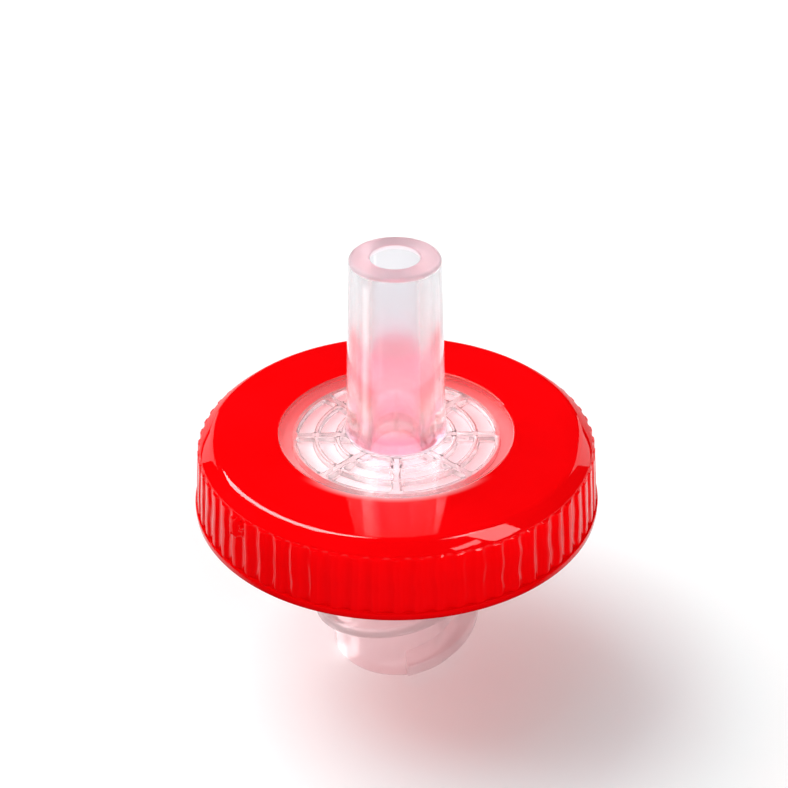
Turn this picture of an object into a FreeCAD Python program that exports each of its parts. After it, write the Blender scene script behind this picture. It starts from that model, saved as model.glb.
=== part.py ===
import FreeCAD, Part
import math
import os
import Sketcher

# Syringe filter for 13 mm membranes, standing on its inlet.
# Frame: origin at the centre of the inlet's mouth, +Z along the flow to the outlet's tip, millimetres.

doc = FreeCAD.newDocument("syringe_filter")

# Driving sizes: alias, value, what it is
driving_sizes = [
    ("hub_length", 8.35, "inlet mouth to the underside of the ring"),
    ("hub_radius", 3.0, "outside of the inlet hub"),
    ("hub_root_fillet", 0.4, "hub to the lower plate"),
    ("mouth_fillet", 0.15, "outer edge of the hub's mouth"),
    ("mouth_chamfer", 0.15, "lead-in of the socket"),
    ("socket_mouth_radius", 2.15, "female luer cone at the mouth"),
    ("socket_depth", 7.9, "female luer cone's length"),
    ("luer_taper", 0.06, "change of diameter per length of both luer cones"),
    ("throat_radius", 0.8, "passage from the socket to the inlet chamber"),
    ("thread_height", 0.87, "luer lock thread's crest above the hub"),
    ("thread_root_width", 1.1, "axial width of the thread at the hub"),
    ("thread_crest_width", 0.6, "axial width of the thread at its crest"),
    ("thread_bite", 0.15, "thread's root inside the hub's surface"),
    ("thread_lead", 5.0, "axial travel in one turn"),
    ("thread_turns", 0.6, "turns of each start"),
    ("thread_start_height", 0.45, "underside of the thread's root where it starts"),
    ("thread_start_angle", 277.0, "direction of the first start, degrees from +X"),
    ("thread_starts", 2, "number of starts"),
    ("ring_height", 3.55, "underside to top of the ring"),
    ("window_radius", 5.3, "clear plateaus inside the ring, above and below"),
    ("upper_cover", 0.6, "ring above the outlet housing's flange"),
    ("lower_cover", 0.9, "ring below the inlet housing's flange"),
    ("joint_depth", 1.2, "top face to the plane where the housings meet"),
    ("membrane_radius", 6.5, "filter disc"),
    ("membrane_thickness", 0.15, "filter disc"),
    ("membrane_gap", 0.05, "around the disc in its seat"),
    ("seat_rim", 0.85, "housing outside the disc's seat"),
    ("ring_wall", 1.53, "flange to the rib crests at the top of the ribs"),
    ("well_radius", 1.75, "centre well of the support pattern"),
    ("support_width", 0.76, "each ring of support blocks"),
    ("channel_width", 0.2, "ring channels between the support blocks"),
    ("radial_channel_width", 0.36, "straight channels between the support blocks"),
    ("support_rings", 3, "rings of support blocks"),
    ("radial_channels", 8, "straight channels in the pattern"),
    ("outlet_channel_depth", 0.65, "support pattern above the disc"),
    ("inlet_channel_depth", 0.5, "spreading pattern below the disc"),
    ("inlet_gap", 0.1, "spreading blocks below the disc"),
    ("tube_length", 8.75, "top face to the tip of the outlet"),
    ("tube_tip_radius", 1.99, "male luer cone at its tip"),
    ("tube_root_fillet", 0.3, "tube to the window"),
    ("tube_tip_fillet", 0.2, "outer edge of the tip"),
    ("outlet_bore_radius", 1.08, "bore through the tube"),
    ("shoulder_width", 0.53, "sloping shoulder, measured inwards"),
    ("shoulder_drop", 0.52, "sloping shoulder, measured down"),
    ("edge_fillet", 0.15, "rounding of the ring's top outer edge"),
    ("window_edge_fillet", 0.2, "rounding of the ring's top inner edge"),
    ("ring_draft", 0.19, "how far the ribs spread from top to bottom"),
    ("lip_height", 0.35, "smooth lip at the ring's lower edge"),
    ("lip_stand", 0.07, "lip beyond the rib crests"),
    ("lip_fillet", 0.08, "edges of the lip"),
    ("shoulder_fillet", 0.15, "shoulder to the wall between the ribs"),
    ("rib_count", 64, "grip ribs"),
    ("rib_rise", 0.14, "rib crest above the wall"),
    ("rib_radius", 0.4, "rounding of each rib"),
    ("rib_overrun", 0.06, "rib ends above the foot of the shoulder"),
]

sizes = doc.addObject("Spreadsheet::Sheet", "sizes")
for row, (alias, value, note) in enumerate(driving_sizes, 1):
    sizes.set(f"A{row}", alias)
    sizes.set(f"B{row}", str(value))
    sizes.set(f"C{row}", note)
    sizes.setAlias(f"B{row}", alias)
doc.recompute()


def size(expression):
    """The number that an expression on the sheet gives."""
    return float(sizes.evalExpression(expression.replace("sizes.", "")))


# Heights above the inlet's mouth, as expressions on the sheet
ring_bottom = "sizes.hub_length"
ring_top = f"({ring_bottom} + sizes.ring_height)"
tip_height = f"({ring_top} + sizes.tube_length)"
joint_height = f"({ring_top} - sizes.joint_depth)"
seat_height = f"({joint_height} - sizes.membrane_thickness)"
upper_flange = f"({ring_top} - sizes.upper_cover)"
lower_flange = f"({ring_bottom} + sizes.lower_cover)"
inlet_floor = f"({seat_height} - sizes.inlet_channel_depth)"
lip_top = f"({ring_bottom} + sizes.lip_height)"
shoulder_height = f"({ring_top} - sizes.shoulder_drop)"

# Radii
seat_radius = "(sizes.membrane_radius + sizes.membrane_gap)"
flange_radius = f"({seat_radius} + sizes.seat_rim)"
crest_radius = f"({flange_radius} + sizes.ring_wall)"
low_crest_radius = f"({crest_radius} + sizes.ring_draft)"
lip_radius = f"({low_crest_radius} + sizes.lip_stand)"
wall_radius = f"({crest_radius} - sizes.rib_rise)"
low_wall_radius = f"({low_crest_radius} - sizes.rib_rise)"
edge_radius = f"({crest_radius} - sizes.shoulder_width)"
socket_end_radius = "(sizes.socket_mouth_radius - sizes.socket_depth * sizes.luer_taper / 2)"
tube_root_radius = "(sizes.tube_tip_radius + sizes.tube_length * sizes.luer_taper / 2)"
chamber_radius = "(sizes.well_radius + sizes.support_rings * (sizes.support_width + sizes.channel_width))"


def new_body(name):
    body = doc.addObject("PartDesign::Body", name)
    body.Label = name
    body.Placement = FreeCAD.Placement()
    return body


def origin_feature(body, role):
    return next(item for item in body.Origin.OriginFeatures if item.Role == role)


def new_sketch(body, name, plane="XZ_Plane", shift=(), turn_axis=None, turn=None):
    """A sketch on one of the body's origin planes, shifted and turned by expressions in that plane's axes."""
    sketch = body.newObject("Sketcher::SketchObject", name)
    sketch.AttachmentSupport = (origin_feature(body, plane), [""])
    sketch.MapMode = "FlatFace"
    if turn:
        any_angle = FreeCAD.Rotation(turn_axis, 1)
        sketch.AttachmentOffset = FreeCAD.Placement(FreeCAD.Vector(), any_angle)
        sketch.setExpression(".AttachmentOffset.Rotation.Angle", turn)
    for direction, distance in shift:
        sketch.setExpression(f".AttachmentOffset.Base.{direction}", distance)
    return sketch


def pin_vertex(sketch, line, across, up):
    """Hold the start of a line at a place that the sheet gives."""
    for kind, axis_line, expression in (("DistanceX", -2, across), ("DistanceY", -1, up)):
        if expression == "0":
            sketch.addConstraint(Sketcher.Constraint("PointOnObject", line, 1, axis_line))
        else:
            index = sketch.addConstraint(
                Sketcher.Constraint(kind, -1, 1, line, 1, size(expression))
            )
            sketch.setExpression(f"Constraints[{index}]", expression)


def outline(sketch, corners):
    """A closed run of straight lines through corners given as (across, up) expressions."""
    places = [FreeCAD.Vector(size(across), size(up), 0) for across, up in corners]
    first = sketch.GeometryCount
    for start, end in zip(places, places[1:] + places[:1]):
        sketch.addGeometry(Part.LineSegment(start, end), False)
    for number, (across, up) in enumerate(corners):
        following = (number + 1) % len(corners)
        sketch.addConstraint(
            Sketcher.Constraint("Coincident", first + number, 2, first + following, 1)
        )
        pin_vertex(sketch, first + number, across, up)


def spin(body, name, sections, kind="PartDesign::Revolution"):
    """Turn closed sections about the flow axis, to add material or to cut it."""
    sketch = new_sketch(body, f"{name}_section")
    for corners in sections:
        outline(sketch, corners)
    feature = body.newObject(kind, name)
    feature.Profile = sketch
    feature.ReferenceAxis = (sketch, ["V_Axis"])
    feature.Angle = 360
    sketch.Visibility = False
    doc.recompute()
    return feature


def groove(body, name, sections):
    """As spin, cutting: the volume has to fall."""
    before = body.Shape.Volume
    feature = spin(body, name, sections, "PartDesign::Groove")
    if body.Shape.Volume >= before:
        raise RuntimeError(f"{name} cut nothing")
    return feature


def repeat_round(body, name, feature, count):
    pattern = body.newObject("PartDesign::PolarPattern", name)
    pattern.Originals = [feature]
    pattern.Axis = (origin_feature(body, "Z_Axis"), [""])
    pattern.Angle = 360
    pattern.setExpression("Occurrences", count)
    body.Tip = pattern
    doc.recompute()
    return pattern


def round_edges(body, name, rings, radius, kind="PartDesign::Fillet"):
    """Fillet or chamfer the full circles at the given (radius, height) expressions."""
    base = body.Tip
    wanted = [(size(across), size(up)) for across, up in rings]
    names = []
    for number, edge in enumerate(base.Shape.Edges, 1):
        curve = edge.Curve
        if not isinstance(curve, Part.Circle):
            continue
        on_axis = abs(curve.Center.x) < 1e-6 and abs(curve.Center.y) < 1e-6
        for across, up in wanted:
            if on_axis and abs(curve.Radius - across) < 1e-5 and abs(curve.Center.z - up) < 1e-5:
                names.append(f"Edge{number}")
    if len(names) < len(wanted):
        raise RuntimeError(f"{name} found {len(names)} of {len(wanted)} edges")
    feature = body.newObject(kind, name)
    feature.Base = (base, names)
    feature.setExpression("Radius" if kind.endswith("Fillet") else "Size", radius)
    doc.recompute()
    return feature


def flow_pattern(body, plane_height, depth_end):
    """Ring channels and straight channels cut between the plane of the disc and depth_end."""
    rings = []
    for number in range(1, int(size("sizes.support_rings")) + 1):
        pitch = "(sizes.support_width + sizes.channel_width)"
        outer = f"(sizes.well_radius + {number} * {pitch})"
        inner = f"({outer} - sizes.channel_width)"
        rings.append([(inner, plane_height), (outer, plane_height), (outer, depth_end), (inner, depth_end)])
    groove(body, "ring_channels", rings)

    sketch = new_sketch(body, "straight_channel_plan", "XY_Plane", shift=[("z", plane_height)])
    half_width = "(sizes.radial_channel_width / 2)"
    outline(
        sketch,
        [
            ("0", f"(-{half_width})"),
            (f"({chamber_radius} - sizes.channel_width / 2)", f"(-{half_width})"),
            (f"({chamber_radius} - sizes.channel_width / 2)", half_width),
            ("0", half_width),
        ],
    )
    before = body.Shape.Volume
    channel = body.newObject("PartDesign::Pocket", "straight_channel")
    channel.Profile = sketch
    channel.Reversed = size(depth_end) > size(plane_height)
    channel.setExpression("Length", f"abs({depth_end} - {plane_height})")
    sketch.Visibility = False
    doc.recompute()
    if body.Shape.Volume >= before:
        raise RuntimeError("straight_channel cut nothing")
    repeat_round(body, "straight_channels", channel, "sizes.radial_channels")


# Outlet housing: flange, window, male luer tube and the support pattern under the window
outlet_housing = new_body("outlet_housing")
spin(
    outlet_housing,
    "outlet_blank",
    [
        [
            ("0", joint_height),
            (flange_radius, joint_height),
            (flange_radius, upper_flange),
            ("sizes.window_radius", upper_flange),
            ("sizes.window_radius", ring_top),
            (tube_root_radius, ring_top),
            ("sizes.tube_tip_radius", tip_height),
            ("0", tip_height),
        ]
    ],
)
well_top = f"({joint_height} + sizes.outlet_channel_depth)"
groove(
    outlet_housing,
    "outlet_bore",
    [
        [
            ("0", joint_height),
            ("sizes.well_radius", joint_height),
            ("sizes.well_radius", well_top),
            ("sizes.outlet_bore_radius", well_top),
            ("sizes.outlet_bore_radius", tip_height),
            ("0", tip_height),
        ]
    ],
)
flow_pattern(outlet_housing, joint_height, well_top)
round_edges(outlet_housing, "tube_root", [(tube_root_radius, ring_top)], "sizes.tube_root_fillet")
round_edges(outlet_housing, "tube_tip", [("sizes.tube_tip_radius", tip_height)], "sizes.tube_tip_fillet")

# Inlet housing: hub with the female luer socket, flange, disc seat, spreading pattern and lock thread
inlet_housing = new_body("inlet_housing")
spin(
    inlet_housing,
    "inlet_blank",
    [
        [
            ("0", "0"),
            ("sizes.hub_radius", "0"),
            ("sizes.hub_radius", ring_bottom),
            ("sizes.window_radius", ring_bottom),
            ("sizes.window_radius", lower_flange),
            (flange_radius, lower_flange),
            (flange_radius, joint_height),
            ("0", joint_height),
        ]
    ],
)
groove(
    inlet_housing,
    "luer_socket",
    [
        [
            ("0", "0"),
            ("sizes.socket_mouth_radius", "0"),
            (socket_end_radius, "sizes.socket_depth"),
            ("sizes.throat_radius", "sizes.socket_depth"),
            ("sizes.throat_radius", inlet_floor),
            ("sizes.well_radius", inlet_floor),
            ("sizes.well_radius", joint_height),
            ("0", joint_height),
        ]
    ],
)
block_top = f"({seat_height} - sizes.inlet_gap)"
groove(
    inlet_housing,
    "disc_seat",
    [
        [
            ("0", block_top),
            (chamber_radius, block_top),
            (chamber_radius, seat_height),
            (seat_radius, seat_height),
            (seat_radius, joint_height),
            ("0", joint_height),
        ]
    ],
)
flow_pattern(inlet_housing, block_top, inlet_floor)
round_edges(inlet_housing, "hub_root", [("sizes.hub_radius", ring_bottom)], "sizes.hub_root_fillet")
round_edges(inlet_housing, "hub_mouth", [("sizes.hub_radius", "0")], "sizes.mouth_fillet")
round_edges(
    inlet_housing,
    "socket_lead_in",
    [("sizes.socket_mouth_radius", "0")],
    "sizes.mouth_chamfer",
    "PartDesign::Chamfer",
)

thread_section = new_sketch(
    inlet_housing,
    "thread_section",
    turn_axis=FreeCAD.Vector(0, 1, 0),
    turn="sizes.thread_start_angle",
)
flank = "((sizes.thread_root_width - sizes.thread_crest_width) / 2)"
thread_low = "sizes.thread_start_height"
thread_high = f"({thread_low} + sizes.thread_root_width)"
thread_root = "(sizes.hub_radius - sizes.thread_bite)"
thread_crest = "(sizes.hub_radius + sizes.thread_height)"
outline(
    thread_section,
    [
        (thread_root, thread_low),
        (thread_crest, f"({thread_low} + {flank})"),
        (thread_crest, f"({thread_high} - {flank})"),
        (thread_root, thread_high),
    ],
)
thread = inlet_housing.newObject("PartDesign::AdditiveHelix", "lock_thread")
thread.Profile = thread_section
thread.ReferenceAxis = (thread_section, ["V_Axis"])
thread.Mode = "pitch-turns-angle"
thread.setExpression("Pitch", "sizes.thread_lead")
thread.setExpression("Turns", "sizes.thread_turns")
thread_section.Visibility = False
doc.recompute()
repeat_round(inlet_housing, "lock_threads", thread, "sizes.thread_starts")

# Filter disc
membrane = doc.addObject("Part::Cylinder", "membrane")
membrane.Label = "membrane"
membrane.setExpression("Radius", "sizes.membrane_radius")
membrane.setExpression("Height", "sizes.membrane_thickness")
membrane.setExpression(".Placement.Base.z", seat_height)

# Ring moulded around both flanges
overmould_ring = new_body("overmould_ring")
spin(
    overmould_ring,
    "ring_blank",
    [
        [
            ("sizes.window_radius", ring_top),
            ("sizes.window_radius", upper_flange),
            (flange_radius, upper_flange),
            (flange_radius, lower_flange),
            ("sizes.window_radius", lower_flange),
            ("sizes.window_radius", ring_bottom),
            (lip_radius, ring_bottom),
            (lip_radius, lip_top),
            (low_wall_radius, lip_top),
            (wall_radius, shoulder_height),
            (edge_radius, ring_top),
        ]
    ],
)
round_edges(overmould_ring, "top_edge", [(edge_radius, ring_top)], "sizes.edge_fillet")
round_edges(overmould_ring, "window_edge", [("sizes.window_radius", ring_top)], "sizes.window_edge_fillet")
round_edges(
    overmould_ring,
    "lip_edges",
    [(lip_radius, ring_bottom), (lip_radius, lip_top)],
    "sizes.lip_fillet",
)
round_edges(overmould_ring, "shoulder_foot", [(wall_radius, shoulder_height)], "sizes.shoulder_fillet")

# One rib: a rod with a domed top, leaning with the wall, its foot inside the lip
rib_lean = f"atan(sizes.ring_draft / ({shoulder_height} - {lip_top}))"
rib_reach = "sqrt(sizes.rib_rise * (2 * sizes.rib_radius - sizes.rib_rise))"
foot_height = f"({ring_bottom} + sizes.lip_height / 2 - sizes.rib_radius * sin({rib_lean}))"
foot_crest = f"({low_crest_radius} + sizes.lip_height / 2 * tan({rib_lean}))"
foot_radius = f"({foot_crest} - sizes.rib_radius * cos({rib_lean}))"
dome_height = f"({shoulder_height} + sizes.rib_overrun - {rib_reach})"
rib_length = f"(({dome_height} - {foot_height}) / cos({rib_lean}))"
rib_section = new_sketch(
    overmould_ring,
    "rib_section",
    shift=[("x", foot_radius), ("y", foot_height)],
    turn_axis=FreeCAD.Vector(0, 0, 1),
    turn=rib_lean,
)
centre, side, shoulder_point, dome_centre, dome_top = (
    FreeCAD.Vector(size(across), size(up), 0)
    for across, up in (
        ("0", "0"),
        ("sizes.rib_radius", "0"),
        ("sizes.rib_radius", rib_length),
        ("0", rib_length),
        ("0", f"{rib_length} + sizes.rib_radius"),
    )
)
foot, flank_line, dome, axis_line = 0, 1, 2, 3
dome_circle = Part.Circle(dome_centre, FreeCAD.Vector(0, 0, 1), size("sizes.rib_radius"))
rib_section.addGeometry(Part.LineSegment(centre, side), False)
rib_section.addGeometry(Part.LineSegment(side, shoulder_point), False)
rib_section.addGeometry(Part.ArcOfCircle(dome_circle, 0, math.pi / 2), False)
rib_section.addGeometry(Part.LineSegment(dome_top, centre), False)
for constraint in (
    ("Coincident", foot, 1, -1, 1),
    ("Coincident", foot, 2, flank_line, 1),
    ("Tangent", flank_line, 2, dome, 1),
    ("Coincident", dome, 2, axis_line, 1),
    ("Coincident", axis_line, 2, foot, 1),
    ("PointOnObject", dome, 3, -2),
    ("Horizontal", foot),
    ("Vertical", flank_line),
    ("Vertical", axis_line),
):
    rib_section.addConstraint(Sketcher.Constraint(*constraint))
for kind, line, expression in (
    ("DistanceX", foot, "sizes.rib_radius"),
    ("DistanceY", flank_line, rib_length),
):
    index = rib_section.addConstraint(Sketcher.Constraint(kind, line, 1, line, 2, size(expression)))
    rib_section.setExpression(f"Constraints[{index}]", expression)
rib = overmould_ring.newObject("PartDesign::Revolution", "rib")
rib.Profile = rib_section
rib.ReferenceAxis = (rib_section, ["V_Axis"])
rib.Angle = 360
rib_section.Visibility = False
doc.recompute()
repeat_round(overmould_ring, "ribs", rib, "sizes.rib_count")

doc.recompute()
sub_parts = [outlet_housing, inlet_housing, membrane, overmould_ring]
failed = [item.Name for item in doc.Objects if "Invalid" in item.State or "Error" in item.State]
if failed:
    raise RuntimeError(f"failed features: {failed}")
for sub_part in sub_parts:
    shape = sub_part.Shape
    if shape.isNull() or not shape.isValid() or len(shape.Solids) != 1:
        raise RuntimeError(f"{sub_part.Label} is not one valid solid")

os.makedirs("parts", exist_ok=True)
for sub_part in sub_parts:
    sub_part.Shape.exportStep(f"parts/{sub_part.Label}.step")
    print(sub_part.Label, round(sub_part.Shape.Volume, 2), "mm3")
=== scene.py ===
import math

import bmesh
import bpy
from mathutils import Matrix, Vector, noise


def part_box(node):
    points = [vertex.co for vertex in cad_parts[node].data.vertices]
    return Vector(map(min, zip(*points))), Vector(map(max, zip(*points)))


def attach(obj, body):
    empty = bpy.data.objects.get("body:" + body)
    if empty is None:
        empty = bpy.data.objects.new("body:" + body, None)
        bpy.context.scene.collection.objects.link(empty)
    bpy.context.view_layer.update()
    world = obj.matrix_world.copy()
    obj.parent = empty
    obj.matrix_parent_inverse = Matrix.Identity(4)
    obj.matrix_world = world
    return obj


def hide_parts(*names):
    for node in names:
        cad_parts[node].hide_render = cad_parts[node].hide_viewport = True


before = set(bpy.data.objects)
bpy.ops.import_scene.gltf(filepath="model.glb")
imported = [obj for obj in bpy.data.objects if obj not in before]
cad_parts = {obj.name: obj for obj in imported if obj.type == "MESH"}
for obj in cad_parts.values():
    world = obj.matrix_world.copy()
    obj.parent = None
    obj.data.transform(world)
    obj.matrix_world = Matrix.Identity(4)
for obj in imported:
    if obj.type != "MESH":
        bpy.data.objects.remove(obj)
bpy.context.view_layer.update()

# Syringe filter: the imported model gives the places, and the pieces below stand for its four nodes.
# Shapes are worked out in millimetres and brought to metres when a piece is finished.

fullTurn = 2 * math.pi
metre = 1000  # in millimetres
weld = 1e-4  # points nearer than this are one point
near = 1e-3  # how closely a height or radius is met when edges are picked
steep = math.radians(60)  # edges that turn more than this get softened
sharpAngle = math.radians(38)  # and those that still turn more than this are shaded sharp
turnedSegments = 5  # in each rounded corner of a turned section
flapCleanings = 4
scene = bpy.context.scene


def frameBox(node):
    low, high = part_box(node)
    return low * metre, high * metre


class Signal:
    # a number or colour from a node; sums and products of numbers add their own Math nodes
    def __init__(self, finish, socket):
        self.finish = finish
        self.socket = socket

    def maths(self, operation, first, second):
        return self.finish.node("ShaderNodeMath", {"operation": operation}, {0: first, 1: second})

    def __add__(self, other):
        return self.maths("ADD", self, other)

    __radd__ = __add__

    def __sub__(self, other):
        return self.maths("SUBTRACT", self, other)

    def __rsub__(self, other):
        return self.maths("SUBTRACT", other, self)

    def __mul__(self, other):
        return self.maths("MULTIPLY", self, other)

    __rmul__ = __mul__

    def __truediv__(self, other):
        return self.maths("DIVIDE", self, other)


class Finish:
    # one material or world and its node tree
    def __init__(self, owner):
        self.owner = owner
        owner.use_nodes = True
        self.tree = owner.node_tree
        self.tree.nodes.clear()

    def node(self, kind, settings, inputs, output=0):
        made = self.tree.nodes.new(kind)
        for setting, value in settings.items():
            if setting == "stops":
                self.setStops(made.color_ramp, value)
            else:
                setattr(made, setting, value)
        for name, value in inputs.items():
            if isinstance(value, Signal):
                self.tree.links.new(value.socket, made.inputs[name])
            else:
                made.inputs[name].default_value = value
        return Signal(self, made.outputs[output])

    def setStops(self, ramp, stops):
        while len(ramp.elements) < len(stops):
            ramp.elements.new(1.0)
        for element, (place, shade) in zip(ramp.elements, stops):
            element.position = place
            element.color = shade if isinstance(shade, tuple) else (shade, shade, shade, 1)

    def objectPlace(self):
        return self.node("ShaderNodeTexCoord", {}, {}, "Object")

    def vectors(self, operation, inputs, output=0):
        return self.node("ShaderNodeVectorMath", {"operation": operation}, inputs, output)

    def noiseAt(self, place, scale, detail=2.0, roughness=0.5):
        return self.node(
            "ShaderNodeTexNoise",
            {"normalize": True},
            {"Vector": place, "Scale": scale, "Detail": detail, "Roughness": roughness},
        )

    def ramp(self, signal, stops):
        return self.node("ShaderNodeValToRGB", {"stops": stops}, {"Fac": signal})

    def levels(self, height, tall, stops):
        # a ramp by height, for a piece whose highest stop is at tall or below it
        return self.ramp(height * (1 / tall), [(level / tall, shade) for level, shade in stops])

    def blendColours(self, share, first, second, how="MIX"):
        return self.node(
            "ShaderNodeMix",
            {"data_type": "RGBA", "blend_type": how},
            {0: share, 6: first, 7: second},
            2,
        )

    def step(self, signal, start, end):
        # rises smoothly from 0 to 1 between two values
        return self.node(
            "ShaderNodeMapRange",
            {"interpolation_type": "SMOOTHSTEP"},
            {0: signal, 1: start, 2: end},
        )

    def part(self, vector, axis):
        return self.node("ShaderNodeSeparateXYZ", {}, {0: vector}, axis)

    def radius(self, place):
        # distance from the flow axis, in metres
        flat = self.vectors("MULTIPLY", {0: place, 1: (1, 1, 0)})
        return self.vectors("LENGTH", {0: flat}, 1)

    def bump(self, height, strength, distance):
        inputs = {"Height": height, "Strength": strength, "Distance": distance}
        return self.node("ShaderNodeBump", {}, inputs)

    def plastic(self, inputs):
        return self.node("ShaderNodeBsdfPrincipled", {}, inputs)

    def isRay(self, kind):
        return self.node("ShaderNodeLightPath", {}, {}, f"Is {kind} Ray")

    def letLampsThrough(self, shader, tint):
        # lamps shine through the plastic, tinted on the way
        tinted = self.node("ShaderNodeBsdfTransparent", {}, {"Color": tint})
        mixed = {0: self.isRay("Shadow"), 1: shader, 2: tinted}
        return self.node("ShaderNodeMixShader", {}, mixed)

    def surface(self, shader, kind="ShaderNodeOutputMaterial"):
        ending = self.tree.nodes.new(kind)
        self.tree.links.new(shader.socket, ending.inputs["Surface"])
        return self.owner


def newFinish(name):
    return Finish(bpy.data.materials.new(name))


def sweep(shape, geom, angle, steps, rise=0, **how):
    # turns a section about the flow axis and lifts it by the rise at every step
    bmesh.ops.spin(
        shape,
        geom=geom,
        cent=(0, 0, 0),
        axis=(0, 0, 1),
        dvec=(0, 0, rise),
        angle=angle,
        steps=steps,
        **how,
    )


def turn(shape, angle):
    matrix = Matrix.Rotation(angle, 3, "Z")
    bmesh.ops.rotate(shape, verts=shape.verts, cent=(0, 0, 0), matrix=matrix)


def turnedShape(corners, steps, angle=fullTurn, wallCuts=0):
    # a closed run of (radius, height, rounding) corners, softened and turned about the flow axis
    shape = bmesh.new()
    points = [shape.verts.new((corner[0], 0, corner[1])) for corner in corners]
    for ends in zip(points, points[1:] + points[:1]):
        shape.edges.new(ends)
    wallMiddle = (points[0].co + points[1].co) / 2

    def fromWall(run):
        return ((run.verts[0].co + run.verts[1].co) / 2 - wallMiddle).length

    for point, corner in zip(points, corners):
        if corner[2] > 0:
            bmesh.ops.bevel(
                shape,
                geom=[point],
                offset=corner[2],
                affect="VERTICES",
                segments=turnedSegments,
                profile=0.5,
                material=-1,
            )
    if wallCuts:  # the run from the first corner to the second gets level rows
        bmesh.ops.subdivide_edges(shape, edges=[min(shape.edges, key=fromWall)], cuts=wallCuts)
    section = shape.verts[:] + shape.edges[:]
    sweep(shape, section, angle, steps, use_merge=angle == fullTurn)
    return shape


def flatFaces(shape, height, inner, outer):
    # level faces at a height whose middles lie between two radii
    found = []
    for face in shape.faces:
        middle = face.calc_center_median()
        across = math.hypot(middle.x, middle.y)
        level = all(abs(corner.co.z - height) < weld for corner in face.verts)
        if level and inner < across < outer:
            found.append(face)
    return found


def soften(shape, edges, rounding, segments=3):
    bmesh.ops.bevel(
        shape,
        geom=edges,
        offset=rounding,
        affect="EDGES",
        segments=segments,
        profile=0.5,
        material=-1,
    )


def blockZones(pattern):
    # inner and outer radius of each ring of support blocks
    pitch = pattern["blockWidth"] + pattern["gap"]
    inner = [pattern["wellRadius"] + number * pitch for number in range(pattern["rings"])]
    return [(radius, radius + pattern["blockWidth"]) for radius in inner]


def raiseBlocks(shape, pattern, height, rise):
    # support blocks: rings of a level face, cut by straight channels, then drawn out and softened
    zones = blockZones(pattern)
    innermost, outermost = zones[0][0], zones[-1][1]
    normals = []
    for number in range(pattern["channels"] // 2):
        angle = fullTurn * number / pattern["channels"]
        normals.append(Vector((-math.sin(angle), math.cos(angle), 0)))
    half = pattern["channelWidth"] / 2
    for normal in normals:
        for side in (-half, half):
            level = flatFaces(shape, height, innermost, outermost)
            edges = {edge for face in level for edge in face.edges}
            points = {point for face in level for point in face.verts}
            bmesh.ops.bisect_plane(
                shape,
                geom=level + list(edges) + list(points),
                plane_co=normal * side,
                plane_no=normal,
            )
    blocks = []
    for inner, outer in zones:
        for face in flatFaces(shape, height, inner, outer):
            middle = face.calc_center_median()
            if all(abs(normal.dot(middle)) > half for normal in normals):
                blocks.append(face)
    drawn = bmesh.ops.extrude_face_region(shape, geom=blocks)["geom"]
    hidden = [face for face in blocks if face.is_valid]  # the operator leaves them inside
    bmesh.ops.delete(shape, geom=hidden, context="FACES")
    tops = [item for item in drawn if isinstance(item, bmesh.types.BMVert)]
    bmesh.ops.translate(shape, verts=tops, vec=(0, 0, rise))
    topSet = set(tops)
    upright = []
    for edge in shape.edges:
        if (edge.verts[0] in topSet) != (edge.verts[1] in topSet) and len(edge.link_faces) == 2:
            if edge.calc_face_angle(0) > steep:
                upright.append(edge)
    soften(shape, upright, pattern["cornerRounding"], pattern["cornerSegments"])

    low, high = sorted((height, height + rise))
    rims = [
        edge
        for edge in shape.edges
        if len(edge.link_faces) == 2
        and edge.calc_face_angle(0) > steep
        and all(low - near < point.co.z < high + near for point in edge.verts)
        and abs(edge.verts[0].co.z - edge.verts[1].co.z) < near
        and innermost - near < math.hypot(*edge.verts[0].co.xy) < outermost + near
    ]
    soften(shape, rims, pattern["rounding"])


def asObject(shape, name):
    data = bpy.data.meshes.new(name)
    shape.to_mesh(data)
    shape.free()
    made = bpy.data.objects.new(name, data)
    scene.collection.objects.link(made)
    return made


def finishPiece(shape, name, finish, node):
    bmesh.ops.remove_doubles(shape, verts=shape.verts, dist=weld)
    bmesh.ops.dissolve_degenerate(shape, edges=shape.edges, dist=weld)
    for cleaning in range(flapCleanings):  # loose flaps are left where two roundings meet
        flaps = {face for edge in shape.edges if edge.is_boundary for face in edge.link_faces}
        bmesh.ops.delete(shape, geom=list(flaps), context="FACES")
    bmesh.ops.recalc_face_normals(shape, faces=shape.faces)
    bmesh.ops.scale(shape, verts=shape.verts, vec=(1 / metre, 1 / metre, 1 / metre))
    piece = asObject(shape, name)
    piece.data.shade_smooth()
    piece.data.set_sharp_from_angle(angle=sharpAngle)
    piece.data.materials.append(finish)
    level = piece.modifiers.new("levelFaces", "WEIGHTED_NORMAL")
    level.keep_sharp = True
    level.weight = 100  # the largest faces alone set the normals
    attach(piece, "root")
    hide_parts(node)
    print(f"{name}: {len(piece.data.polygons)} faces")
    return piece


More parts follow.
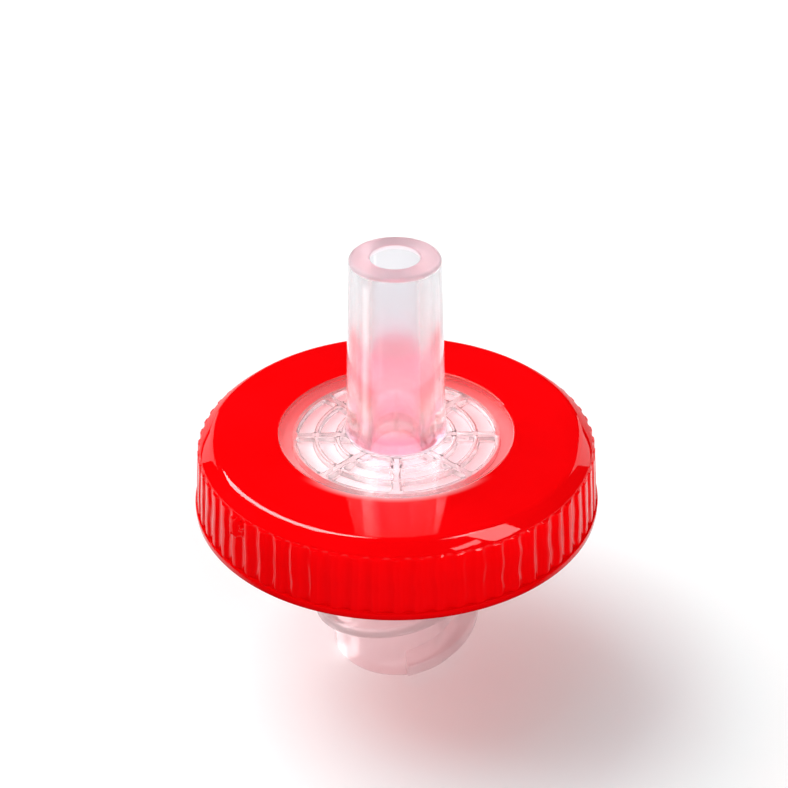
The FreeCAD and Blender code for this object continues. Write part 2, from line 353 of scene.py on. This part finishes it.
redPlastic = dict(
    colour=(0.97, 0.0008, 0.0025, 1),
    deepColour=(0.92, 0.0004, 0.0015, 1),
    swirlScale=260,
    swirlDetail=3,
    swirl=[(0.35, 0), (0.75, 1)],
    skinScale=900,
    skinStrength=0.04,
    skinDepth=0.0001,
    roughness=0.3,
    unevenness=0.1,
    shadowTint=(0.50, 0.003, 0.006, 1),
    facingBlend=0.5,
    polish=[(0.44, 0.02), (0.58, 0.6), (0.8, 1.0)],  # the wall's gloss grows towards grazing light
    topPolish=0.45,
    topFrom=(0.01128, 0.01131),
    polishRoughness=0.02,
    paintedEdgeLight=(0.95, 0.36, 0.37, 1),  # painted light: lighter red along the window's near edge, for the bright window's light shining through the red
    edgeLightRadii=(0.00526, 0.00572),
    edgeLightFront=(-0.0050, -0.0036),
    tall=0.0119,
    paintedShadeLevels=[(0.00835, 0.42), (0.00850, 0.70), (0.00868, 0.84), (0.0100, 0.88), (0.0112, 1.0)],
    paintedShadeFrom=(0.0086, 0.0088),  # painted shade: darker towards the bottom, only on the outer wall
)
finish = newFinish("redPlastic")
place = finish.objectPlace()
streaks = finish.noiseAt(place, redPlastic["swirlScale"], redPlastic["swirlDetail"])
swirl = finish.ramp(streaks, redPlastic["swirl"])
skin = finish.noiseAt(place, redPlastic["skinScale"])
facing = finish.node("ShaderNodeLayerWeight", {}, {"Blend": redPlastic["facingBlend"]}, "Facing")
height = finish.part(place, "Z")
across = finish.radius(place)
upward = finish.step(height, *redPlastic["topFrom"])
wallGloss = finish.ramp(facing, redPlastic["polish"])
# painted light: the red is lighter inside the edge radius on the near side, fading out past it and
# towards the back
pastEdgeLight = finish.step(across, *redPlastic["edgeLightRadii"])
behindEdgeLight = finish.step(finish.part(place, "Y"), *redPlastic["edgeLightFront"])
outsideEdgeLight = pastEdgeLight + behindEdgeLight - pastEdgeLight * behindEdgeLight
body = finish.blendColours(swirl, redPlastic["colour"], redPlastic["deepColour"])
# painted shade: the wall and lip grow darker towards the bottom
paintedFootShade = finish.levels(height, redPlastic["tall"], redPlastic["paintedShadeLevels"])
body = finish.blendColours(finish.step(across, *redPlastic["paintedShadeFrom"]), body, paintedFootShade, "MULTIPLY")
red = finish.plastic({
    "Base Color": finish.blendColours(outsideEdgeLight, redPlastic["paintedEdgeLight"], body),
    "Roughness": skin * redPlastic["unevenness"] + redPlastic["roughness"],
    "Specular IOR Level": 0,
    "Coat Weight": wallGloss - upward * wallGloss + upward * redPlastic["topPolish"],
    "Coat Roughness": redPlastic["polishRoughness"],
    "Normal": finish.bump(skin, redPlastic["skinStrength"], redPlastic["skinDepth"]),
})
redFinish = finish.surface(finish.letLampsThrough(red, redPlastic["shadowTint"]))


clearGrain = dict(cloudScale=300, cloudiness=0.03, boreEdge=0.00006, shineRoughness=0.04)


def clearFinish(name, look):
    # milky clear plastic, pinker where it is thick and near the ring: painted tints that stand in
    # for the red ring's light and shadow;
    # its painted highlights are upright lines of emitted light, and its tints, haze and painted glow
    # go by height
    finish = newFinish(name)
    place = finish.objectPlace()
    height = finish.part(place, "Z")
    across = finish.radius(place)
    cloud = finish.noiseAt(place, clearGrain["cloudScale"])
    shade = finish.levels(height, look["tall"], look["tintsAndPaintedLight"])
    boreShade = finish.levels(height, look["tall"], look["boreShades"])
    inBore = 1 - finish.step(across, look["bore"], look["bore"] + clearGrain["boreEdge"])
    side = finish.part(place, "X") / across
    above = finish.step(height, *look["highlightsFrom"])
    below = 1 - finish.step(height, *look["highlightsTo"])
    paintedHighlights = finish.ramp(side * 0.5 + 0.5, look["paintedHighlights"]) * above * below * (1 - inBore)
    paintedGlow = finish.levels(height, look["tall"], look["paintedGlow"])
    haze = finish.levels(height, look["tall"], look["haze"])
    clear = finish.plastic({
        "Base Color": finish.blendColours(inBore, shade, boreShade, "MULTIPLY"),
        "Roughness": haze + cloud * clearGrain["cloudiness"],
        "Transmission Weight": look["clarity"],
        "IOR": look["bend"],
        "Coat Weight": look["shine"],
        "Coat Roughness": clearGrain["shineRoughness"],
        "Emission Color": finish.blendColours(1, paintedHighlights, paintedGlow, "ADD"),
        "Emission Strength": 1,
    })
    return finish.surface(finish.letLampsThrough(clear, look["shadowTint"]))


tubePlastic = dict(
    tall=0.02065,
    # the tube's pale tint, with painted pink near the foot and in the middle for the red ring's
    # light seen through the plastic
    tintsAndPaintedLight=[
        (0.01196, (1.0, 0.94, 0.945, 1)),
        (0.01206, (0.97, 0.38, 0.56, 1)),
        (0.0125, (0.98, 0.50, 0.66, 1)),
        (0.0129, (1.0, 0.85, 0.91, 1)),
        (0.0136, (1.0, 0.95, 0.965, 1)),
        (0.0155, (1.0, 0.96, 1.0, 1)),
        (0.0172, (0.87, 0.90, 0.92, 1)),
        (0.0204, (0.87, 0.90, 0.92, 1)),
        (0.0206, (1.0, 0.86, 0.91, 1)),
    ],
    haze=[
        (0.0113, 0.28),
        (0.0118, 0.05),
        (0.0121, 0.12),
        (0.0165, 0.12),
        (0.0185, 0.2),
        (0.0204, 0.2),
        (0.0206, 0.4),
    ],
    clarity=0.92,
    bend=1.49,
    shine=0.6,
    bore=0.00112,
    # painted red light in the bore: pinker below the middle, for the ring's red seen through it
    boreShades=[
        (0.0119, (1.0, 0.80, 0.88, 1)),
        (0.0163, (1.0, 0.60, 0.72, 1)),
        (0.0168, (0.96, 0.93, 0.95, 1)),
    ],
    # painted highlights: upright lines of emitted light on the tube's left and right
    paintedHighlights=[  # from the left side, 0, to the right, 1
        (0.155, 0),
        (0.185, 0.22),
        (0.205, 0.16),
        (0.235, 0),
        (0.95, 0),
        (0.958, 0.2),
        (0.966, 0),
    ],
    highlightsFrom=(0.0124, 0.0132),
    highlightsTo=(0.0198, 0.0203),
    # painted glow: emitted light low on the tube and on the tip face, for the ring's light carried
    # up the plastic
    paintedGlow=[
        (0.0122, 0.0),
        (0.0130, (0.035, 0.035, 0.016, 1)),
        (0.0150, (0.05, 0.05, 0.065, 1)),
        (0.0163, (0.02, 0.05, 0.07, 1)),
        (0.0172, 0.0),
        (0.0204, 0.0),
        (0.0206, (0.13, 0.07, 0.08, 1)),
    ],
    shadowTint=(0.96, 0.89, 0.91, 1),
)
tubeFinish = clearFinish("tubePlastic", tubePlastic)

hubPlastic = dict(
    tall=0.0107,
    # the hub's tint, darker and pinker low down: painted shade for the ring's red shadow
    tintsAndPaintedLight=[
        (0.0, (0.81, 0.69, 0.70, 1)),
        (0.006, (0.78, 0.65, 0.66, 1)),
        (0.0085, (0.97, 0.9, 0.9, 1)),
    ],
    haze=[(0.006, 0.32), (0.0085, 0.05), (0.0100, 0.05), (0.0103, 0.3)],
    clarity=0.86,
    bend=1.10,
    shine=0.6,
    bore=0.00092,
    boreShades=[(0.0, (0.9, 0.9, 0.9, 1))],
    # painted highlight: emitted light on the hub's lower left
    paintedHighlights=[(0.0, 0.0), (0.02, 0.35), (0.07, 0.35), (0.11, 0)],
    highlightsFrom=(-0.0002, 0.0001),
    highlightsTo=(0.0006, 0.0019),
    # painted glow: emitted light at the hub's foot
    paintedGlow=[(0.0, (0.05, 0.035, 0.035, 1)), (0.0005, (0.015, 0.01, 0.01, 1)), (0.0010, 0.0)],
    shadowTint=(0.95, 0.84, 0.86, 1),
)
hubFinish = clearFinish("hubPlastic", hubPlastic)

discPaper = dict(
    # the disc's pinkish white is partly painted: its own white with the ring's red light painted in
    colour=(0.86, 0.70, 0.70, 1),
    paintedFarRed=(0.86, 0.50, 0.515, 1),  # painted red light: the far side, nearer to the key lamp, where the ring's red light falls on it
    paintedFarFrom=(-0.0005, 0.0025),
    # painted red light on the clamped rim, left pale towards the front
    paintedRimRed=(1.0, 0.08, 0.09, 1),
    paintedRimGlow=(0.18, 0.004, 0.004, 1),  # painted glow: red light that reaches the clamped rim through the ring
    paintedRimEdge=(0.00448, 0.00456),
    paintedRimFront=(-0.0044, -0.0030),
    roughness=0.85,
    shine=0.2,
    poreScale=9000,
    poreDetail=3,
    poreRoughness=0.6,
    poreStrength=0.25,
    poreDepth=0.00002,
)
finish = newFinish("discPaper")
place = finish.objectPlace()
grain = discPaper["poreScale"], discPaper["poreDetail"], discPaper["poreRoughness"]
pores = finish.noiseAt(place, *grain)
back = finish.part(place, "Y")
paintedRimReach = finish.step(finish.radius(place), *discPaper["paintedRimEdge"])
paintedRimShare = paintedRimReach * finish.step(back, *discPaper["paintedRimFront"])
paintedFarShare = finish.step(back, *discPaper["paintedFarFrom"])
sheetWithRedLight = finish.blendColours(paintedFarShare, discPaper["colour"], discPaper["paintedFarRed"])
paper = finish.plastic({
    "Base Color": finish.blendColours(paintedRimShare, sheetWithRedLight, discPaper["paintedRimRed"]),
    "Roughness": discPaper["roughness"],
    "Specular IOR Level": discPaper["shine"],
    "Emission Color": finish.blendColours(paintedRimShare, (0, 0, 0, 1), discPaper["paintedRimGlow"]),
    "Emission Strength": 1,
    "Normal": finish.bump(pores, discPaper["poreStrength"], discPaper["poreDepth"]),
})
discFinish = finish.surface(paper)
print("finishes ready")

# Ring moulded around the rim: one rib's sector is shaped and then repeated

ringLow, ringHigh = frameBox("overmould_ring")
inletHigh = frameBox("inlet_housing")[1]
outletLow, outletHigh = frameBox("outlet_housing")
discLow, discHigh = frameBox("membrane")
flangeRadius = outletHigh.x
jointHeight = outletLow.z

ring = dict(
    windowRadius=5.3,
    bite=0.02,  # the red plastic keys this far into the clear flanges
    upperCover=0.6,
    lowerCover=0.9,
    lipHeight=0.35,
    lipStand=0.07,
    draft=0.19,
    shoulderWidth=0.70,
    shoulderDrop=0.50,
    shoulderCrown=0.014,  # how far the shoulder's middle stands out, each way
    crownRounding=0.2,
    shoulderRounding=0.06,
    topRounding=0.16,
    windowRounding=0.09,
    undersideRounding=0.1,
    lipRounding=0.06,
    ribs=64,
    ribRise=0.10,
    ribWidth=0.66,  # at the foot of its flanks
    ribFlank=0.19,
    ribTop=0.542,  # below the top face
    ribTopSlope=0.044,
    wave=0.11,  # how far the ribs wander
    waveGrain=1.1,
    waveEnds=0.4,  # the ribs run straight again this far from their ends
    gateAngle=220.0,  # the trimmed moulding gate on the wall
    gateHeight=10.8,
    gateWide=0.32,
    gateTall=0.55,
    gateRise=0.12,
    gateRagged=0.6,
    gateGrain=5,
    gateReach=1.5,  # nothing moves farther away than this
    gateTop=0.1,  # nor this near the shoulder
    stepsPerRib=12,
    wallRows=60,
    wallSkin=0.01,  # points this far under the wall still count as on it
)
ringTop = ringHigh.z
lowCrest = ringHigh.x - ring["lipStand"]
crest = lowCrest - ring["draft"]
wallFoot = lowCrest - ring["ribRise"]
wallTop = crest - ring["ribRise"]
bite = ring["bite"]
topEdge = crest - ring["shoulderWidth"]
wallBase = ringLow.z + ring["lipHeight"]
shoulderFoot = ringTop - ring["shoulderDrop"]
wallRise = shoulderFoot - wallBase
crown = (
    (wallTop + topEdge) / 2 + ring["shoulderCrown"],
    (ringTop + shoulderFoot) / 2 + ring["shoulderCrown"],
)
windowSide = ring["windowRadius"] - bite
upperSeat = ringTop - ring["upperCover"] - bite
lowerSeat = ringLow.z + ring["lowerCover"] + bite
ringCorners = [
    (wallFoot, wallBase, 0),
    (wallTop, shoulderFoot, ring["shoulderRounding"]),
    (*crown, ring["crownRounding"]),
    (topEdge, ringTop, ring["topRounding"]),
    (windowSide, ringTop, ring["windowRounding"]),
    (windowSide, upperSeat, 0),
    (flangeRadius - bite, upperSeat, 0),
    (flangeRadius - bite, lowerSeat, 0),
    (windowSide, lowerSeat, 0),
    (windowSide, ringLow.z, ring["undersideRounding"]),
    (ringHigh.x, ringLow.z, ring["lipRounding"]),
    (ringHigh.x, wallBase, ring["lipRounding"]),
]
ribAngle = fullTurn / ring["ribs"]
shape = turnedShape(ringCorners, ring["stepsPerRib"], ribAngle, wallCuts=ring["wallRows"])
turn(shape, -ribAngle / 2)

for point in shape.verts:
    across = math.hypot(point.co.x, point.co.y)
    if across < topEdge or point.co.z < wallBase - weld or across > lowCrest:
        continue
    beside = abs(math.atan2(point.co.y, point.co.x) * across)
    up = min((ring["ribWidth"] / 2 - beside) / ring["ribFlank"], 1)
    cap = min((ringTop - ring["ribTop"] - point.co.z) / ring["ribTopSlope"], 1)
    if up > 0 and cap > 0:
        lean = ring["draft"] * (1 - (point.co.z - wallBase) / wallRise)
        face = crest + lean - ring["ribRise"] * (1 - up * cap)
        if face > across:
            point.co.x *= face / across
            point.co.y *= face / across
sector = shape.verts[:] + shape.edges[:] + shape.faces[:]
sweep(shape, sector, fullTurn - ribAngle, ring["ribs"] - 1, use_duplicate=True)

gateTurn = math.radians(ring["gateAngle"])
gate = Vector((crest * math.cos(gateTurn), crest * math.sin(gateTurn), ring["gateHeight"]))
gateSide = Vector((-math.sin(gateTurn), math.cos(gateTurn), 0))
for point in shape.verts:
    above = point.co.z - wallBase
    if 0 < above < wallRise and math.hypot(point.co.x, point.co.y) > wallTop - ring["wallSkin"]:
        fromEnds = min(above, wallRise - above, ring["waveEnds"]) / ring["waveEnds"]
        drift = noise.noise(point.co * ring["waveGrain"]) * ring["wave"] * fromEnds
        point.co = Matrix.Rotation(drift / crest, 3, "Z") @ point.co
        offset = point.co - gate
        if offset.length < ring["gateReach"] and above < wallRise - ring["gateTop"]:
            sideways = offset.dot(gateSide) / ring["gateWide"]
            reach = math.hypot(sideways, offset.z / ring["gateTall"])
            ragged = noise.noise(point.co * ring["gateGrain"]) * ring["gateRagged"]
            if reach + ragged < 1:
                grown = 1 + ring["gateRise"] / math.hypot(point.co.x, point.co.y)
                point.co.x *= grown
                point.co.y *= grown
ringPiece = finishPiece(shape, "ribbedRing", redFinish, "overmould_ring")

# Outlet: tube, window and the support blocks under it

outlet = dict(
    tipRadius=1.99,
    rootRadius=2.2525,
    rootFillet=0.15,
    tipRounding=0.18,
    boreRadius=1.08,
    boreRounding=0.06,
    edgeRounding=0.05,
    seatRounding=0.03,
    steps=192,
)
pattern = dict(  # support blocks, laid out alike on both sides of the disc
    wellRadius=1.75,
    blockWidth=0.76,
    gap=0.2,
    rings=3,
    channels=8,
    channelWidth=0.36,
    outletDepth=0.65,
    inletDepth=0.4,
    rounding=0.09,
    cornerRounding=0.16,
    cornerSegments=4,
)
chamberRadius = pattern["wellRadius"] + pattern["rings"] * (pattern["blockWidth"] + pattern["gap"])


def patternRun(height):
    # corners of the blocks' rings on a level face, from the outermost gap to the well
    run = [(chamberRadius, height, 0)]
    for inner, outer in reversed(blockZones(pattern)):
        run += [(outer, height, 0), (inner, height, 0)]
    return run


ceiling = jointHeight + pattern["outletDepth"]
flangeTop = ringTop - ring["upperCover"]
outletCorners = [
    (flangeRadius, flangeTop, outlet["edgeRounding"]),
    (ring["windowRadius"], flangeTop, 0),
    (ring["windowRadius"], ringTop, outlet["edgeRounding"]),
    (outlet["rootRadius"], ringTop, outlet["rootFillet"]),
    (outlet["tipRadius"], outletHigh.z, outlet["tipRounding"]),
    (outlet["boreRadius"], outletHigh.z, outlet["boreRounding"]),
    (outlet["boreRadius"], ceiling, outlet["edgeRounding"]),
    *reversed(patternRun(ceiling)),
    (chamberRadius, jointHeight, outlet["seatRounding"]),
    (flangeRadius, jointHeight, outlet["edgeRounding"]),
]
shape = turnedShape(outletCorners, outlet["steps"])
raiseBlocks(shape, pattern, ceiling, -pattern["outletDepth"])
finishPiece(shape, "outletHousing", tubeFinish, "outlet_housing")

# Inlet: hub, socket, lock thread and spreading blocks

inlet = dict(
    hubRadius=3.0,
    hubFillet=0.4,
    mouthRounding=0.15,
    edgeRounding=0.05,
    seatRounding=0.03,
    undersideRounding=0.07,
    socketRounding=0.1,
    socketMouth=2.15,
    socketEnd=1.913,
    socketDepth=7.9,
    leadIn=0.15,
    throatRadius=0.8,
    seatRadius=6.55,
    floorDrop=0.5,  # below the disc
    underGap=0.01,
    steps=192,
)
thread = dict(
    crestRadius=3.87,
    rootRadius=2.85,
    rootWidth=1.1,
    crestWidth=0.6,
    lead=5.0,
    turns=0.6,
    startHeight=0.45,
    startAngle=277.0,
    starts=2,
    rounding=0.08,
    softenOver=30.0,  # crest edges that turn by more degrees than this
    crestSkin=0.01,
    steps=64,
)
floorHeight = discLow.z - inlet["floorDrop"]
flangeFoot = ringLow.z + ring["lowerCover"]
rimHeight = inletHigh.z - inlet["underGap"]
inletCorners = [
    (inlet["hubRadius"], 0, inlet["mouthRounding"]),
    (inlet["hubRadius"], ringLow.z, inlet["hubFillet"]),
    (ring["windowRadius"], ringLow.z, inlet["undersideRounding"]),
    (ring["windowRadius"], flangeFoot, 0),
    (flangeRadius, flangeFoot, inlet["edgeRounding"]),
    (flangeRadius, rimHeight, inlet["edgeRounding"]),
    (inlet["seatRadius"], rimHeight, inlet["seatRounding"]),
    (inlet["seatRadius"], discLow.z, inlet["seatRounding"]),
    (chamberRadius, discLow.z, inlet["seatRounding"]),
    *patternRun(floorHeight),
    (inlet["throatRadius"], floorHeight, inlet["edgeRounding"]),
    (inlet["throatRadius"], inlet["socketDepth"], inlet["edgeRounding"]),
    (inlet["socketEnd"], inlet["socketDepth"], inlet["socketRounding"]),
    (inlet["socketMouth"], 0, inlet["leadIn"]),
]
shape = turnedShape(inletCorners, inlet["steps"])


def threadShape(number):
    # one start: its section turned and lifted along the hub
    shape = bmesh.new()
    flank = (thread["rootWidth"] - thread["crestWidth"]) / 2
    low = thread["startHeight"]
    high = low + thread["rootWidth"]
    section = [
        (thread["rootRadius"], low),
        (thread["crestRadius"], low + flank),
        (thread["crestRadius"], high - flank),
        (thread["rootRadius"], high),
    ]
    points = [shape.verts.new((across, 0, height)) for across, height in section]
    startFace = shape.faces.new(points)
    rise = thread["lead"] * thread["turns"] / thread["steps"]
    sweep(shape, [startFace], fullTurn * thread["turns"], thread["steps"], rise)
    turn(shape, math.radians(thread["startAngle"]) + fullTurn * number / thread["starts"])
    bmesh.ops.holes_fill(shape, edges=[edge for edge in shape.edges if edge.is_boundary])
    bmesh.ops.recalc_face_normals(shape, faces=shape.faces)
    reach = thread["crestRadius"] - thread["crestSkin"]
    outer = [
        edge
        for edge in shape.edges
        if edge.calc_face_angle(0) > math.radians(thread["softenOver"])
        and all(math.hypot(*point.co.xy) > reach for point in edge.verts)
    ]
    soften(shape, outer, thread["rounding"])
    return shape


bmesh.ops.remove_doubles(shape, verts=shape.verts, dist=weld)
bmesh.ops.recalc_face_normals(shape, faces=shape.faces)
hub = asObject(shape, "hubBlank")
starts = [asObject(threadShape(number), f"start{number}") for number in range(thread["starts"])]
for start in starts:
    joined = hub.modifiers.new("join", "BOOLEAN")
    joined.operation = "UNION"
    joined.solver = "EXACT"
    joined.object = start
depsgraph = bpy.context.evaluated_depsgraph_get()
shape = bmesh.new()
shape.from_mesh(bpy.data.meshes.new_from_object(hub.evaluated_get(depsgraph)))
for spare in [hub] + starts:
    bpy.data.objects.remove(spare)
raiseBlocks(shape, pattern, floorHeight, pattern["inletDepth"])
finishPiece(shape, "inletHousing", hubFinish, "inlet_housing")

# Filter disc

disc = dict(gap=0.01, steps=192)
shape = bmesh.new()
bmesh.ops.create_circle(shape, cap_ends=True, radius=discHigh.x, segments=disc["steps"])
bmesh.ops.translate(shape, verts=shape.verts, vec=(0, 0, discLow.z + disc["gap"]))
drawn = bmesh.ops.extrude_face_region(shape, geom=shape.faces[:])["geom"]
bmesh.ops.translate(
    shape,
    verts=[item for item in drawn if isinstance(item, bmesh.types.BMVert)],
    vec=(0, 0, discHigh.z - discLow.z - 2 * disc["gap"]),
)
bmesh.ops.holes_fill(shape, edges=[edge for edge in shape.edges if edge.is_boundary])
finishPiece(shape, "filterDisc", discFinish, "membrane")

# Camera

view = dict(
    distance=0.0837,
    elevation=0.580,
    aimHeight=0.0119,
    lens=85.1,
    tiltUp=0.019,
    pan=0.001,
    roll=-0.007,
    nearest=0.002,
    farthest=10,
)
target = Vector((0, 0, view["aimHeight"]))
outward = Vector((0, -math.cos(view["elevation"]), math.sin(view["elevation"])))
eye = target + view["distance"] * outward
gaze = (target - eye).to_track_quat("-Z", "Y").to_matrix()
gaze = gaze @ Matrix.Rotation(view["tiltUp"], 3, "X") @ Matrix.Rotation(view["pan"], 3, "Y")
gaze = gaze @ Matrix.Rotation(view["roll"], 3, "Z")
cameraData = bpy.data.cameras.new("camera")
cameraData.lens = view["lens"]
cameraData.clip_start = view["nearest"]
cameraData.clip_end = view["farthest"]
camera = bpy.data.objects.new("camera", cameraData)
camera.matrix_world = Matrix.Translation(eye) @ gaze.to_4x4()
scene.collection.objects.link(camera)
scene.camera = camera

# Floor, room and lamps

room = dict(
    floorReach=9.0,
    floorGap=0.00002,  # keeps the floor clear of the hub's mouth
    floorRoughness=0.9,
    floorShine=0.1,
    floorColour=(0.93, 0.93, 0.93, 1),
    paintedRedShadow=(0.93, 0.87, 0.87, 1),  # painted red light: pink floor colour where the ring's red light falls in its shadow
    redShadowMiddle=(0.002, -0.004, 0),
    redShadowEdge=(0.002, 0.0065),
    # painted light: emission seen by camera, gloss and glass rays that lightens the floor's shadow
    # more the farther it lies from its middle
    paintedLiftMiddle=(0.004, -0.003, 0),
    paintedLiftReach=0.02,
    paintedGlow=[
        (0.20, 0.0),
        (0.42, (0.05, 0.09, 0.10, 1)),
        (0.62, (0.10, 0.155, 0.16, 1)),
        (0.8, 0.15),
    ],
    farEdge=(0.15, 0.6),  # beyond the lamps' reach the floor keeps its white
    farGlow=0.6,
    airColour=(1, 1, 1, 1),
    air=0.30,
    airInPlastic=0.70,
    airInGloss=-0.28,
    lampAim=0.009,  # every lamp faces this height on the flow axis
)
finish = newFinish("paleFloor")
place = finish.objectPlace()


def awayFrom(middle):
    return finish.radius(finish.vectors("SUBTRACT", {0: place, 1: middle}))


paintedGlow = finish.ramp(awayFrom(room["paintedLiftMiddle"]) * (1 / room["paintedLiftReach"]), room["paintedGlow"])
paintedRedShadowShare = 1 - finish.step(awayFrom(room["redShadowMiddle"]), *room["redShadowEdge"])
seen = sum(finish.isRay(kind) for kind in ("Camera", "Glossy", "Transmission"))
far = finish.step(finish.radius(place), *room["farEdge"]) * room["farGlow"] * seen
paintedLift = finish.blendColours(seen, (0, 0, 0, 1), paintedGlow)
floorFinish = finish.surface(finish.plastic({
    "Base Color": finish.blendColours(paintedRedShadowShare, room["floorColour"], room["paintedRedShadow"]),
    "Roughness": room["floorRoughness"],
    "Specular IOR Level": room["floorShine"],
    "Emission Color": finish.blendColours(1, paintedLift, far, "ADD"),
    "Emission Strength": 1,
}))
shape = bmesh.new()
bmesh.ops.create_grid(shape, x_segments=1, y_segments=1, size=room["floorReach"])
bmesh.ops.translate(shape, verts=shape.verts, vec=(0, 0, -room["floorGap"]))
floor = asObject(shape, "floor")
floor.data.materials.append(floorFinish)

world = bpy.data.worlds.new("room")
scene.world = world
finish = Finish(world)
inPlastic = finish.isRay("Transmission") * room["airInPlastic"]
strength = inPlastic + finish.isRay("Glossy") * room["airInGloss"] + room["air"]
air = finish.node("ShaderNodeBackground", {}, {"Color": room["airColour"], "Strength": strength})
finish.surface(air, "ShaderNodeOutputWorld")

lamps = [
    # name, direction from the filter, distance, width, depth, brightness, what it shows in
    ("keySoftbox", (-0.55, 0.36, 0.75), 0.45, 0.42, 0.38, 3.6, "colour"),
    ("frontFill", (0.10, -0.87, 0.48), 0.50, 0.50, 0.26, 2.3, "colour"),
    ("sideSoftbox", (0.694, -0.519, 0.504), 0.30, 0.05, 0.07, 14.0, "colour"),
    ("keyGlint", (-0.353, 0.452, 0.819), 0.45, 0.17, 0.27, 22.0, "gloss"),
    ("sideGlint", (0.553, -0.200, 0.808), 0.30, 0.072, 0.16, 9.5, "gloss"),
    ("highTail", (0.369, -0.179, 0.912), 0.30, 0.075, 0.04, 9.0, "gloss"),
    ("lowTail", (0.461, -0.43, 0.776), 0.30, 0.065, 0.03, 9.0, "gloss"),
    ("leftSheen", (-0.57, 0.77, 0.26), 0.45, 0.18, 0.19, 2.2, "gloss"),
    ("rightSheen", (0.60, 0.73, 0.30), 0.45, 0.19, 0.22, 2.4, "gloss"),
]
glossy = bpy.data.collections.new("glossyPieces")
glossy.objects.link(ringPiece)
aim = Vector((0, 0, room["lampAim"]))
for name, direction, distance, width, depth, brightness, showsIn in lamps:
    data = bpy.data.lights.new(name, "AREA")
    data.shape = "RECTANGLE"
    data.size = width
    data.size_y = depth
    data.energy = brightness * math.pi * width * depth
    lamp = bpy.data.objects.new(name, data)
    away = Vector(direction).normalized()
    turned = away.to_track_quat("Z", "Y").to_matrix().to_4x4()
    lamp.matrix_world = Matrix.Translation(aim + away * distance) @ turned
    lamp.visible_glossy = showsIn == "gloss"
    lamp.visible_diffuse = showsIn == "colour"
    lamp.visible_transmission = showsIn == "colour"
    if showsIn == "gloss":  # a glint on the red ring alone
        lamp.light_linking.receiver_collection = glossy
    scene.collection.objects.link(lamp)

scene.view_settings.view_transform = "Standard"
print("camera, floor and lamps ready")
